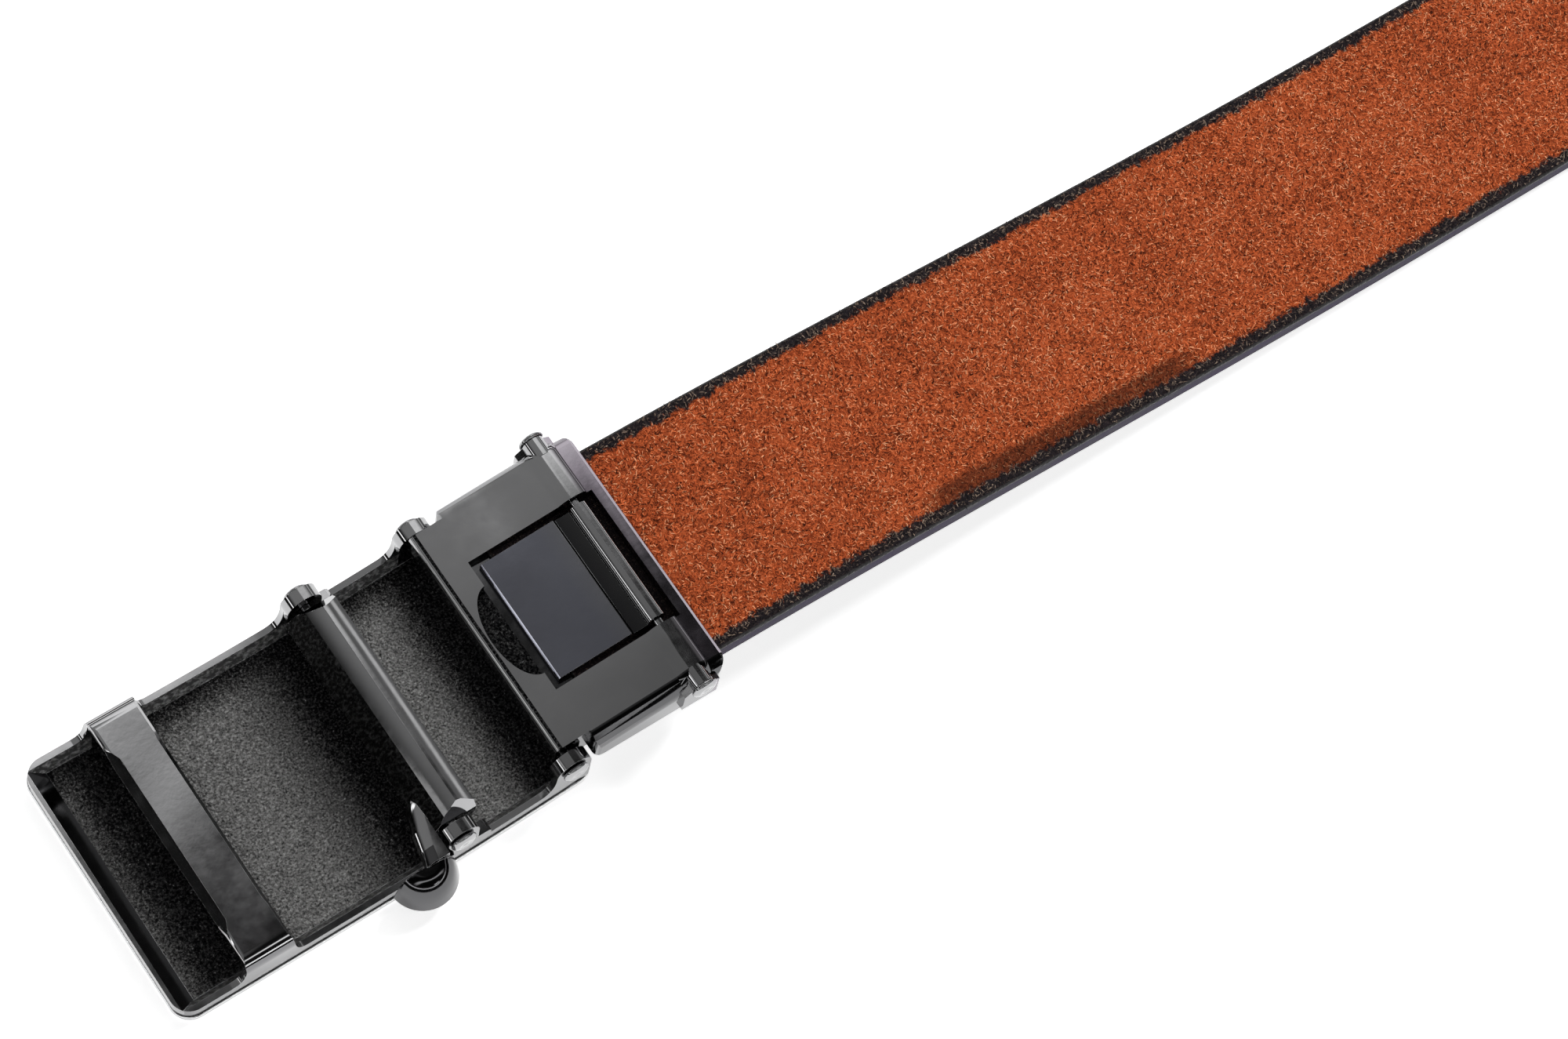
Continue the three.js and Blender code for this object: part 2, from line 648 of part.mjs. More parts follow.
// Sleeve round the strap: rounded shoulders, a top that rises to the ridge over the flap's pin, and
// a lower lip on its right
function sleeve() {
  const ridgeLeft = FLAP_PIN_X - RIDGE_HALF_LENGTH;
  const level = housingTop(ridgeLeft);
  const lipTop = housingTop(HOUSING_RIGHT) - LIP_DROP;
  const ridge = [160, 135, 110, 90, 65, 40, 15].map((degrees) => {
    const turn = (degrees * Math.PI) / 180;
    return [
      FLAP_PIN_X + RIDGE_HALF_LENGTH * Math.cos(turn),
      level + (RIDGE_HEIGHT + 0.1) * Math.sin(turn),
    ];
  });
  const heights = [
    [TONGUE_RIGHT, housingTop(TONGUE_RIGHT)],
    [ridgeLeft - 0.4, housingTop(ridgeLeft - 0.4)],
    ...ridge,
    [HOUSING_RIGHT - LIP_LENGTH, lipTop + 0.15],
    [HOUSING_RIGHT - LIP_LENGTH + 0.3, lipTop],
    [HOUSING_RIGHT - 0.4, lipTop - 0.05],
    [HOUSING_RIGHT, lipTop - 0.35],
  ];
  const rings = heights.map(([x, top]) => {
    const shoulder = [0, 22.5, 45, 67.5, 90].map((degrees) => {
      const turn = (degrees * Math.PI) / 180;
      const y = housingHalf - SHOULDER_ACROSS * (1 - Math.cos(turn));
      return [x, y, top - SHOULDER_DROP * (1 - Math.sin(turn))];
    });
    const otherSide = shoulder.map(([, y, z]) => [x, -y, z]).reverse();
    return [
      [x, -housingHalf, HOUSING_UNDERSIDE],
      [x, housingHalf, HOUSING_UNDERSIDE],
      ...shoulder,
      ...otherSide,
    ];
  });
  const outline = plateShape(
    TONGUE_RIGHT,
    HOUSING_RIGHT,
    housingHalf,
    0.4 * HOUSING_CORNER,
    HOUSING_CORNER,
  );
  const lead = shapeOf([
    [TONGUE_RIGHT - 1, 0],
    [TONGUE_RIGHT + LEAD_LENGTH, 0],
    [TONGUE_RIGHT + LEAD_LENGTH, HOUSING_UNDERSIDE],
    [TONGUE_RIGHT, HOUSING_UNDERSIDE + LEAD_HEIGHT],
    [TONGUE_RIGHT - 1, HOUSING_UNDERSIDE + LEAD_HEIGHT],
  ]);
  return loft(rings)
    .intersect(planPrism(outline, 0, tall))
    .subtract(sidePrism(lead, -plateHalf, plateHalf));
}

// What is taken out of the housing: strap space, window, notch and bores
function housingCuts() {
  const reach = HOUSING_RIGHT + 1;
  const spaceHalf = strapHalf + STRAP_SIDE_PLAY;
  const space = sidePrism(
    boxShape(CAVITY_LEFT, reach, clampFloor, CLAMP_ROOF),
    -spaceHalf,
    spaceHalf,
  );
  const windowHalf = WINDOW_WIDTH / 2;
  const opening = planPrism(
    boxShape(WINDOW_LEFT, WINDOW_RIGHT, -windowHalf, windowHalf),
    CLAMP_ROOF - 0.1,
    tall,
  );
  const notchShape = new THREE.Shape();
  notchShape.absellipse(
    WINDOW_LEFT + 0.1,
    NOTCH_OFFSET,
    NOTCH_LENGTH + 0.1,
    NOTCH_WIDTH / 2,
    0.5 * Math.PI,
    1.5 * Math.PI,
  );
  notchShape.closePath();
  const notch = planPrism(notchShape, housingTop(WINDOW_LEFT) - NOTCH_DEPTH, tall, 20);
  const bores = roundAcross(HINGE_X, HINGE_Z, boreRadius, -boreHalf, boreHalf).add(
    roundAcross(FLAP_PIN_X, FLAP_PIN_Z, boreRadius, -boreHalf, boreHalf),
  );
  return space.add(opening).add(notch).add(bores);
}

// Boss on each side that takes the flap pin's head
function pinBosses() {
  const shape = new THREE.Shape();
  shape.moveTo(FLAP_PIN_X - BOSS_HALF_LENGTH, FLAP_PIN_Z - BOSS_DROP);
  shape.lineTo(FLAP_PIN_X + BOSS_HALF_LENGTH, FLAP_PIN_Z - BOSS_DROP);
  shape.lineTo(FLAP_PIN_X + BOSS_HALF_LENGTH, FLAP_PIN_Z - 1);
  shape.absarc(FLAP_PIN_X, FLAP_PIN_Z, BOSS_RADIUS, 0, Math.PI);
  shape.lineTo(FLAP_PIN_X - BOSS_HALF_LENGTH, FLAP_PIN_Z - 1);
  const reach = [housingHalf - SHOULDER_ACROSS, housingHalf + BOSS_PROUD];
  return bothSides((side) => sidePrism(shape, ...span(side, ...reach)));
}

function clampHousingGeometry() {
  return geometryOf(tongue().add(sleeve()).add(pinBosses()).subtract(housingCuts()));
}

// Flap: a plate under the window's rim, a shallow groove, and the barrel round its pin
function clampFlapGeometry() {
  const left = WINDOW_LEFT + FLAP_LEFT_GAP;
  const half = WINDOW_WIDTH / 2 - FLAP_SIDE_GAP;
  const grooveRight = FLAP_PIN_X - 0.85 * BARREL_RADIUS;
  const grooveLeft = grooveRight - FLAP_GROOVE_WIDTH;
  const underside = CLAMP_ROOF + 0.05;
  const top = (x) => housingTop(x) - FLAP_SINK;
  const plate = shapeOf([
    [left, underside],
    [FLAP_PIN_X, underside + 0.15],
    [FLAP_PIN_X, top(grooveRight) - FLAP_GROOVE_DEPTH],
    [grooveRight, top(grooveRight) - FLAP_GROOVE_DEPTH],
    [grooveLeft + 0.4, top(grooveLeft) - FLAP_GROOVE_DEPTH],
    [grooveLeft, top(grooveLeft)],
    [left + 0.3, top(left)],
    [left, top(left) - 0.3],
  ]);
  const bore = roundAcross(FLAP_PIN_X, FLAP_PIN_Z, boreRadius, -boreHalf, boreHalf);
  return geometryOf(
    sidePrism(plate, -half, half)
      .add(roundAcross(FLAP_PIN_X, FLAP_PIN_Z, BARREL_RADIUS, -half, half))
      .subtract(bore),
  );
}

const gunmetal = () => new THREE.MeshStandardMaterial({ color: 0x6e6e74, roughness: 0.15, metalness: 1 });
const leather = () => new THREE.MeshStandardMaterial({ color: 0xa5512f, roughness: 0.9, metalness: 0 });
const plastic = () => new THREE.MeshStandardMaterial({ color: 0x161616, roughness: 0.5, metalness: 0 });

function piece(name, geometry, material, x = 0, z = 0) {
  const mesh = new THREE.Mesh(geometry, material);
  mesh.name = name;
  mesh.position.set(x, 0, z);
  return mesh;
}

const strapSide = new THREE.Group();
strapSide.add(
  piece("strap", strapGeometry(), leather()),
  piece("ratchet_track", trackGeometry(), plastic()),
  piece("clamp_housing", clampHousingGeometry(), gunmetal()),
  piece("hinge_pin", pinGeometry(frameHalf + HEAD_GAP), gunmetal(), HINGE_X, HINGE_Z),
  piece("flap_pin", pinGeometry(housingHalf + BOSS_PROUD + HEAD_GAP), gunmetal(), FLAP_PIN_X, FLAP_PIN_Z),
  piece("clamp_flap", clampFlapGeometry(), gunmetal()),
);

const buckleSide = new THREE.Group();
buckleSide.add(
  piece("buckle_frame", buckleFrameGeometry(), gunmetal()),
  piece("face_plate", facePlateGeometry(), gunmetal()),
  piece("pawl_pin", pinGeometry(frameHalf + HEAD_GAP), gunmetal(), PAWL_X, PAWL_Z),
  piece("pawl", pawlGeometry(), gunmetal()),
);

const belt = new THREE.Group();
belt.add(strapSide, buckleSide);
export default belt;
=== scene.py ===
# %% [markdown]
# # A ratchet belt, lying face down
# The belt shows its back: a dark polished die-cast buckle and a strap with its flesh side up. The packed
# model gives every piece its true place and size in metres, and this lesson dresses it for the camera.

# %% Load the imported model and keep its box
import math

import bmesh
import bpy
from mathutils import Matrix, Vector


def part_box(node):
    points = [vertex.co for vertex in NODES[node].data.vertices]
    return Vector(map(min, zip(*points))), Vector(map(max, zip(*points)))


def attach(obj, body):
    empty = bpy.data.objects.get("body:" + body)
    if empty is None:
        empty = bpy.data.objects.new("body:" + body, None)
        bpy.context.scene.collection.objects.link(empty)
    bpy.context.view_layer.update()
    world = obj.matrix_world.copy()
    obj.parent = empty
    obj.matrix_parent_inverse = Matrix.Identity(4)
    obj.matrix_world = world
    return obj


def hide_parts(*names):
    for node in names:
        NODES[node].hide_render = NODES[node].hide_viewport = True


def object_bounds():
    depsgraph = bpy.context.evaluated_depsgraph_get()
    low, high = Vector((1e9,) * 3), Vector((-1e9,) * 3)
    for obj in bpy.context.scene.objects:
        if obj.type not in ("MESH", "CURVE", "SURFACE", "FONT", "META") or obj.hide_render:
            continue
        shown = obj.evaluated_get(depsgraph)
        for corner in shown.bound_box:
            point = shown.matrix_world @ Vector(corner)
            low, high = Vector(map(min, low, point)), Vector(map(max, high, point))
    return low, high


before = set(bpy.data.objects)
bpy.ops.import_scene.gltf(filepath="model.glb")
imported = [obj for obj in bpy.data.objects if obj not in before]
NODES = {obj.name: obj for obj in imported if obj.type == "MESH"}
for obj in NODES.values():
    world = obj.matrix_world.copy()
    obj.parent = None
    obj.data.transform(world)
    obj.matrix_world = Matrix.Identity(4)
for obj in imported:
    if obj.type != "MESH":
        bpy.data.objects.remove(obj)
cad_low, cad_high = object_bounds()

MM = 0.001
print("nodes:", sorted(NODES))
print("box in mm:", [round(v / MM, 1) for v in (*cad_low, *cad_high)])

# %% [markdown]
# ## Camera
# The photograph looks down at the belt from the buckle's near left, with a long lens. The camera's place
# and turn are given as three directions, because a picture that is also rolled is hard to aim with a
# single target point.

# %% Camera
RIGHT = Vector((0.81544, -0.56473, 0.12706))
UP = Vector((0.47911, 0.78166, 0.39932))
FORWARD = Vector((0.32483, 0.26475, -0.90796))

EYE_MM = Vector((-103.39, -160.05, 540.51))
FOCAL_MM, FILM_MM = 98.307, 36

lens = bpy.data.cameras.new("camera")
lens.sensor_width = FILM_MM
lens.lens = FOCAL_MM
lens.clip_start, lens.clip_end = 0.05, 20
camera = bpy.data.objects.new("camera", lens)
bpy.context.scene.collection.objects.link(camera)
turn = Matrix((RIGHT, UP, -FORWARD)).transposed().to_4x4()
camera.matrix_world = Matrix.Translation(EYE_MM * MM) @ turn
bpy.context.scene.camera = camera
print("camera height:", round(camera.location.z, 3), "m")

# %% [markdown]
# ## Floor and light
# Polished metal shows its surroundings more than its own colour, so the light is built as a small studio.
# One key light stands halfway up on the right and shades the tray beside each bar. Its glare is kept out of
# the mirrors, which see a dim card in its place, so that polished edges show thin lines of light instead of
# white bands. Two narrow cards, near and left, give a few edges a glint. The floor glows a little, as a
# light table does, so that hardly a shadow is left on it.

# %% Floor
FLOOR_WHITE, FLOOR_GLOW, FLOOR_DROP = 0.88, 0.68, 0.0001


def staged_floor():
    mesh = bpy.data.meshes.new("floor")
    half = 4.0
    corners = [(-half, -half, 0), (half, -half, 0), (half, half, 0), (-half, half, 0)]
    mesh.from_pydata(corners, [], [(0, 1, 2, 3)])
    floor = bpy.data.objects.new("floor", mesh)
    floor.location.z = cad_low.z - FLOOR_DROP
    bpy.context.scene.collection.objects.link(floor)
    paint = bpy.data.materials.new("floor_paint")
    paint.use_nodes = True
    shader = paint.node_tree.nodes["Principled BSDF"]
    shader.inputs["Base Color"].default_value = (FLOOR_WHITE, FLOOR_WHITE, FLOOR_WHITE, 1)
    shader.inputs["Roughness"].default_value = 0.8
    shader.inputs["Emission Color"].default_value = (1, 1, 1, 1)
    shader.inputs["Emission Strength"].default_value = FLOOR_GLOW
    mesh.materials.append(paint)
    print("floor under the belt at", round(floor.location.z / MM, 2), "mm")


staged_floor()

# %% Lights
TARGET = Vector((0.03, 0, 0.005))
KEY_DIRECTION = (0.67, 0.16, 0.72)


def soft_box(name, direction, distance, size, radiance):
    """A light card seen from the belt in one direction, with the brightness that a mirror shows."""
    light = bpy.data.lights.new(name, "AREA")
    light.shape = "RECTANGLE"
    light.size, light.size_y = size
    light.energy = radiance * math.pi * size[0] * size[1]
    lamp = bpy.data.objects.new(name, light)
    away = Vector(direction).normalized()
    lamp.location = TARGET + away * distance
    lamp.rotation_euler = away.to_track_quat("Z", "Y").to_euler()
    bpy.context.scene.collection.objects.link(lamp)
    return lamp


key = soft_box("key", KEY_DIRECTION, distance=1.1, size=(0.36, 0.20), radiance=36.5)
key.visible_glossy = False
soft_box("key_card", KEY_DIRECTION, distance=1.1, size=(0.22, 0.11), radiance=0.5)
soft_box("near_glint", (0.2, -0.80, 0.40), distance=1.0, size=(0.30, 0.04), radiance=6)
soft_box("left_glint", (-0.86, 0.25, 0.42), distance=1.0, size=(0.04, 0.35), radiance=0.7)

# %% [markdown]
# ## Room
# From one place, each polished face mirrors one small part of the room. The loop bar's top looks further to
# the right than the clamp's top does, so the sky over the bar runs from black to white and the sky over the
# clamp stays an even grey. Ramps over the direction draw all of it, and no picture is needed.

# %% Room
CLAMP_SIDE, BAR_SIDE = 0.115, 0.155


def room(near_sky, far_sky, right_glow, near_card, line_glow, dark):
    """A grey overhead that brightens towards the far side, a glow on the right, a narrow card on the near
    side, a thin bright line low all round that fades on the right, and dark between them."""
    world = bpy.data.worlds.new("room")
    world.use_nodes = True
    bpy.context.scene.world = world
    nodes, links = world.node_tree.nodes, world.node_tree.links
    split = nodes.new("ShaderNodeSeparateXYZ")
    links.new(nodes.new("ShaderNodeTexCoord").outputs["Generated"], split.inputs["Vector"])

    def ramp(axis, low, high, to_low=0.0, to_high=1.0):
        node = nodes.new("ShaderNodeMapRange")
        node.interpolation_type = "SMOOTHSTEP"
        links.new(split.outputs[axis], node.inputs["Value"])
        reach = {"From Min": low, "From Max": high, "To Min": to_low, "To Max": to_high}
        for name, number in reach.items():
            node.inputs[name].default_value = number
        return node.outputs["Result"]

    def join(operation, first, *others):
        for other in others:
            node = nodes.new("ShaderNodeMath")
            node.operation = operation
            links.new(first, node.inputs[0])
            links.new(other, node.inputs[1])
            first = node.outputs[0]
        return first

    overhead = ramp("Z", 0.42, 0.74)
    not_near = ramp("Y", -0.02, 0.20)
    over_bar = join("MULTIPLY", ramp("Y", 0.270, 0.335, near_sky, far_sky), ramp("X", CLAMP_SIDE, BAR_SIDE))
    over_clamp = join("MULTIPLY", ramp("Y", 0.235, 0.31, 0.20, 0.35),
                      ramp("X", CLAMP_SIDE, BAR_SIDE, 1.0, 0.0))
    sky = join("MULTIPLY", overhead, not_near, join("ADD", over_bar, over_clamp))
    right = join("MULTIPLY", ramp("X", 0.66, 0.84, 0.0, right_glow), not_near)
    near = join("MULTIPLY", overhead, ramp("Y", -0.54, -0.46, 0.0, near_card),
                ramp("Y", -0.40, -0.32, 1.0, 0.0))
    low_line = join("MULTIPLY", ramp("Z", 0.27, 0.30, 0.0, line_glow), ramp("Z", 0.34, 0.37, 1.0, 0.0),
                    ramp("X", 0.70, 0.86, 1.0, 0.26))
    base = ramp("Z", -0.2, 0.3, dark, dark * 0.8)
    total = join("ADD", sky, right, near, low_line, base)
    nodes["Background"].inputs["Color"].default_value = (1, 1, 1, 1)
    links.new(total, nodes["Background"].inputs["Strength"])


room(near_sky=0.02, far_sky=1.65, right_glow=0.2, near_card=1.8, line_glow=3.2, dark=0.012)
bpy.context.scene.view_settings.view_transform = "Standard"
print("nodes in the room:", len(bpy.context.scene.world.node_tree.nodes))

# %% [markdown]
# ## Two small kits for node trees
# Materials and Geometry Nodes are both node trees. One helper adds a node, sets its inputs and joins its
# sockets, so that each tree below reads as a short list of its steps.

# %% Node helper
class Tree:
    """A node tree, built one named step at a time."""

    def node(self, kind, inputs=None, **settings):
        node = self.tree.nodes.new(kind)
        for key, value in settings.items():
            setattr(node, key, value)
        for key, value in (inputs or {}).items():
            if isinstance(value, bpy.types.NodeSocket):
                self.tree.links.new(value, node.inputs[key])
            else:
                node.inputs[key].default_value = value
        return node

    def math(self, operation, a, b=0.0, c=0.0):
        return self.node("ShaderNodeMath", {0: a, 1: b, 2: c}, operation=operation).outputs[0]


# %% [markdown]
# ## Materials
# Every finish is a short list of layers. Patterns read Object coordinates in metres, because every piece
# has its place in its mesh, and the patterns then stay put when a joint turns.

# %% Material helper
class Finish(Tree):
    """A material's node tree and the layers that the finishes share."""

    def __init__(self, name):
        self.material = bpy.data.materials.new(name)
        self.material.use_nodes = True
        self.tree = self.material.node_tree
        self.shader = self.tree.nodes["Principled BSDF"]
        self.place = self.node("ShaderNodeTexCoord").outputs["Object"]

    def sized(self, across):
        """Object coordinates stretched by a factor for each axis."""
        node = self.node("ShaderNodeMapping", {"Vector": self.place})
        node.inputs["Scale"].default_value = across
        return node.outputs["Vector"]

    def noise(self, size_mm, detail=3.0, rough=0.55, stretch=(1, 1, 1), distortion=0.0):
        inputs = {"Vector": self.sized(stretch), "Scale": 1 / (size_mm * MM), "Detail": detail,
                  "Roughness": rough, "Distortion": distortion}
        return self.node("ShaderNodeTexNoise", inputs).outputs["Fac"]

    def cells(self, size_mm, feature="F1"):
        inputs = {"Vector": self.place, "Scale": 1 / (size_mm * MM)}
        return self.node("ShaderNodeTexVoronoi", inputs, feature=feature).outputs["Distance"]

    def ramp(self, value, low, high, to_low=0.0, to_high=1.0):
        inputs = {"Value": value, "From Min": low, "From Max": high, "To Min": to_low, "To Max": to_high}
        return self.node("ShaderNodeMapRange", inputs).outputs["Result"]

    def colours(self, value, *stops):
        """A run of colours: rows of (place, colour)."""
        node = self.node("ShaderNodeValToRGB", {"Fac": value})
        ramp = node.color_ramp
        while len(ramp.elements) < len(stops):
            ramp.elements.new(0.5)
        for element, (at, colour) in zip(ramp.elements, stops):
            element.position = at
            element.color = (*colour, 1)
        return node.outputs["Color"]

    def mix(self, share, a, b):
        """A blend of two colours. Its sockets go by number, because the node has several A's and B's."""
        node = self.node("ShaderNodeMix", data_type="RGBA")
        for socket, value in ((node.inputs[0], share), (node.inputs[6], a), (node.inputs[7], b)):
            if isinstance(value, bpy.types.NodeSocket):
                self.tree.links.new(value, socket)
            else:
                socket.default_value = value if isinstance(value, float) else (*value, 1)
        return node.outputs[2]

    def sum(self, a, b):
        return self.math("ADD", a, b)

    def times(self, a, b):
        return self.math("MULTIPLY", a, b)

    def larger(self, a, b):
        return self.math("MAXIMUM", a, b)

    def stretch_between(self, value, rise_mm, fall_mm, full=1.0):
        """Full between two places along a value, with a fade at each."""
        rise = self.ramp(value, rise_mm[0] * MM, rise_mm[1] * MM, 0.0, full)
        return self.times(rise, self.ramp(value, fall_mm[0] * MM, fall_mm[1] * MM))

    def along(self, axis):
        return self.node("ShaderNodeSeparateXYZ", {"Vector": self.place}).outputs[axis]

    def bump(self, height, depth_mm, strength=1.0):
        inputs = {"Height": height, "Distance": depth_mm * MM, "Strength": strength}
        return self.node("ShaderNodeBump", inputs).outputs["Normal"]

    def connect(self, **sockets):
        for key, value in sockets.items():
            name = key.replace("_", " ").title().replace("Ior", "IOR")
            target = self.shader.inputs[name]
            if isinstance(value, bpy.types.NodeSocket):
                self.tree.links.new(value, target)
            elif isinstance(value, tuple):
                target.default_value = (*value, 1)
            else:
                target.default_value = value
        return self.material


# %% [markdown]
# ## Geometry Nodes
# What repeats is grown by a Geometry Nodes tree: rivet heads, ratchet teeth and the fibres of the nap. The
# helper gives a tree its named inputs and sets them on the modifier before it is evaluated.

# %% Geometry Nodes helper and plain meshes
SOCKETS = {
    float: "NodeSocketFloat",
    int: "NodeSocketInt",
    bpy.types.Material: "NodeSocketMaterial",
    bpy.types.Object: "NodeSocketObject",
}


class Growth(Tree):
    """A Geometry Nodes tree with named inputs, used once on one piece."""

    def __init__(self, name, **values):
        self.tree = bpy.data.node_groups.new(name, "GeometryNodeTree")
        self.tree.interface.new_socket("Geometry", in_out="INPUT", socket_type="NodeSocketGeometry")
        self.tree.interface.new_socket("Geometry", in_out="OUTPUT", socket_type="NodeSocketGeometry")
        self.values = {}
        for key, value in values.items():
            kind = next(SOCKETS[t] for t in SOCKETS if isinstance(value, t))
            socket = self.tree.interface.new_socket(key, in_out="INPUT", socket_type=kind)
            self.values[socket.identifier] = value
        self.given = self.tree.nodes.new("NodeGroupInput").outputs

    def vector(self, x=0.0, y=0.0, z=0.0):
        return self.node("ShaderNodeCombineXYZ", {0: x, 1: y, 2: z}).outputs[0]

    def join(self, *parts):
        node = self.node("GeometryNodeJoinGeometry")
        for part in parts:
            self.tree.links.new(part, node.inputs[0])
        return node.outputs[0]

    def finish(self, geometry):
        """Ends the tree: real geometry in the given material."""
        real = self.node("GeometryNodeRealizeInstances", {"Geometry": geometry})
        dressed = self.node("GeometryNodeSetMaterial",
                            {0: real.outputs[0], "Material": self.given["Material"]})
        end = self.tree.nodes.new("NodeGroupOutput")
        self.tree.links.new(dressed.outputs[0], end.inputs[0])

    def grow(self, piece):
        modifier = piece.modifiers.new(self.tree.name, "NODES")
        modifier.node_group = self.tree
        for identifier, value in self.values.items():
            modifier[identifier] = value
        return piece


def plain_mesh(name, points, faces):
    mesh = bpy.data.meshes.new(name)
    mesh.from_pydata([(x * MM, y * MM, z * MM) for x, y, z in points], [], faces)
    mesh.polygons.foreach_set("use_smooth", [True] * len(mesh.polygons))
    piece = bpy.data.objects.new(name, mesh)
    bpy.context.scene.collection.objects.link(piece)
    return piece


def turned(name, profile, sides):
    """A body of revolution round Z: rows of (radius, height), closed at both ends."""
    points, faces = [], []
    for radius, height in profile:
        for k in range(sides):
            turn = 2 * math.pi * k / sides
            points.append((radius * math.cos(turn), radius * math.sin(turn), height))
    for row in range(len(profile) - 1):
        for k in range(sides):
            a, b = row * sides + k, row * sides + (k + 1) % sides
            faces.append((a, b, b + sides, a + sides))
    faces.append(tuple(reversed(range(sides))))
    faces.append(tuple(range((len(profile) - 1) * sides, len(profile) * sides)))
    return plain_mesh(name, points, faces)


# %% [markdown]
# ## Black-nickel plate
# The buckle is cast in zinc, polished and plated dark. The plate is a mirror, but a hand-polished one: its
# surface rolls very slightly, and its gloss varies. A weak, wide noise in the bump bends the reflections,
# and a finer one varies the roughness. The plating turns purple where it is thick, at the clamp's right
# end. Side walls and the knob are painted darker than the tops, as shade, and rounded edges are painted
# bright, as highlights.

# %% Polished plate
ROLL_MM, ROLL_DEPTH = 19.0, 0.26
PEEL_MM, PEEL_DEPTH = 1.1, 0.0018
CLOUD_MM, GLOSS_MM = 9.0, 2.2


def polished_plate(name, colour, tint, tint_from=62.8, tint_to=64.2):
    """A hand-polished mirror whose colour turns to the tint between two places along the belt, in mm."""
    finish = Finish(name)
    roll = finish.times(finish.noise(ROLL_MM, 1.0, 0.4, (1, 0.7, 1)), ROLL_DEPTH)
    orange_peel = finish.times(finish.noise(PEEL_MM, 2.0), PEEL_DEPTH)
    height = finish.sum(roll, orange_peel)
    thick = finish.ramp(finish.along("X"), tint_from * MM, tint_to * MM)
    cloud = finish.ramp(finish.noise(CLOUD_MM, 2.0), 0.35, 0.7, 0.75, 1.0)
    share = finish.times(thick, cloud)
    gloss = finish.ramp(finish.noise(GLOSS_MM, 4.0), 0.3, 0.75, 0.065, 0.12)
    return finish.connect(
        base_color=finish.mix(share, colour, tint),
        metallic=1.0,
        roughness=gloss,
        normal=finish.bump(height, 1.0, 1.0),
    )


plate_metal = polished_plate("polished_plate", (0.36, 0.36, 0.365), (0.23, 0.20, 0.235))
# A near-black plate for the flap's groove: painted shade in the crease.
groove_shade_metal = polished_plate("groove_plate", (0.035, 0.035, 0.037), (0.06, 0.06, 0.06), 58, 61)
flap_metal = polished_plate("flap_plate", (0.205, 0.210, 0.245), (0.24, 0.24, 0.25), 55, 59)
# A darker copy of the plate for the side walls: painted shade.
side_shade_metal = polished_plate("side_plate", (0.19, 0.19, 0.195), (0.15, 0.13, 0.155))
# A near-black copy of the plate for the knob, the window's inside, the near shoulder and the left end wall:
# painted shade.
near_black_shade_metal = polished_plate("knob_plate", (0.10, 0.10, 0.103), (0.10, 0.10, 0.103))
# A bright copy of the plate for the roundings: painted highlight lines.
highlight_metal = polished_plate("worn_edge", (0.85, 0.85, 0.855), (0.60, 0.55, 0.60))
print(plate_metal.name, "is made of", len(plate_metal.node_tree.nodes), "nodes")

# %% [markdown]
# Inside the tray the casting was left pebbled, so that the strap grips. A pebbled mirror breaks each
# reflection into grains: a crumpled bump on small cells, over a rougher plate. Light and shade are painted
# into its colour: the open stretches of the floor and its left end are painted lighter, as lit, and beside
# the bars and along the far wall the plate is painted black, as their shadow.

# %% Pebbled and raw castings
# Where light is painted on the tray's floor, and where the far wall's painted shadow begins, in mm.
LIT_LEFT = ((-3.5, 0.5), (18.5, 9.0))
LIT_RIGHT = ((26.0, 29.0), (38.0, 33.2))
RIM_LIGHT = (-12.4, -15.6)
FAR_WALL_SHADE = (17.6, 13.4)
STIPPLE_MM, STIPPLE_REACH = 0.26, 3.0


def pebbled_plate(name):
    """A black pebbled plate, painted light where lit and painted black in the shade of bars and walls."""
    finish = Finish(name)
    grain = finish.cells(0.42)
    fine = finish.noise(0.33, 3.0, 0.75)
    height = finish.sum(finish.ramp(grain, 0.0, 0.8, 1.0, 0.0), fine)
    # Painted light and shade: the light grey stands for light on the floor, the black one for its shadow.
    lit_grey = finish.colours(fine, (0.34, (0.055,) * 3), (0.60, (0.440, 0.435, 0.425)), (0.74, (0.9,) * 3))
    dark = finish.colours(fine, (0.46, (0.003, 0.003, 0.0035)), (0.66, (0.07,) * 3), (0.74, (0.5,) * 3))
    stipple = finish.ramp(finish.noise(STIPPLE_MM, 3.0, 0.75), 0.28, 0.72,
                          -STIPPLE_REACH * MM, STIPPLE_REACH * MM)
    along_tray = finish.sum(finish.along("X"), stipple)
    across_tray = finish.sum(finish.along("Y"), stipple)
    # The floor is painted lit on its open stretches and at its left end; the far-wall ramp paints its
    # shadow.
    lit_left = finish.stretch_between(along_tray, *LIT_LEFT, full=0.85)
    lit_right = finish.stretch_between(along_tray, *LIT_RIGHT)
    rim = finish.ramp(along_tray, RIM_LIGHT[0] * MM, RIM_LIGHT[1] * MM, 0.0, 0.45)
    painted_light_share = finish.larger(finish.larger(lit_left, lit_right), rim)
    painted_light_share = finish.times(painted_light_share, finish.ramp(across_tray, FAR_WALL_SHADE[0] * MM, FAR_WALL_SHADE[1] * MM))
    return finish.connect(
        base_color=finish.mix(painted_light_share, dark, lit_grey),
        metallic=1.0,
        roughness=finish.ramp(fine, 0.3, 0.7, 0.22, 0.46),
        normal=finish.bump(height, 0.13, 0.9),
    )


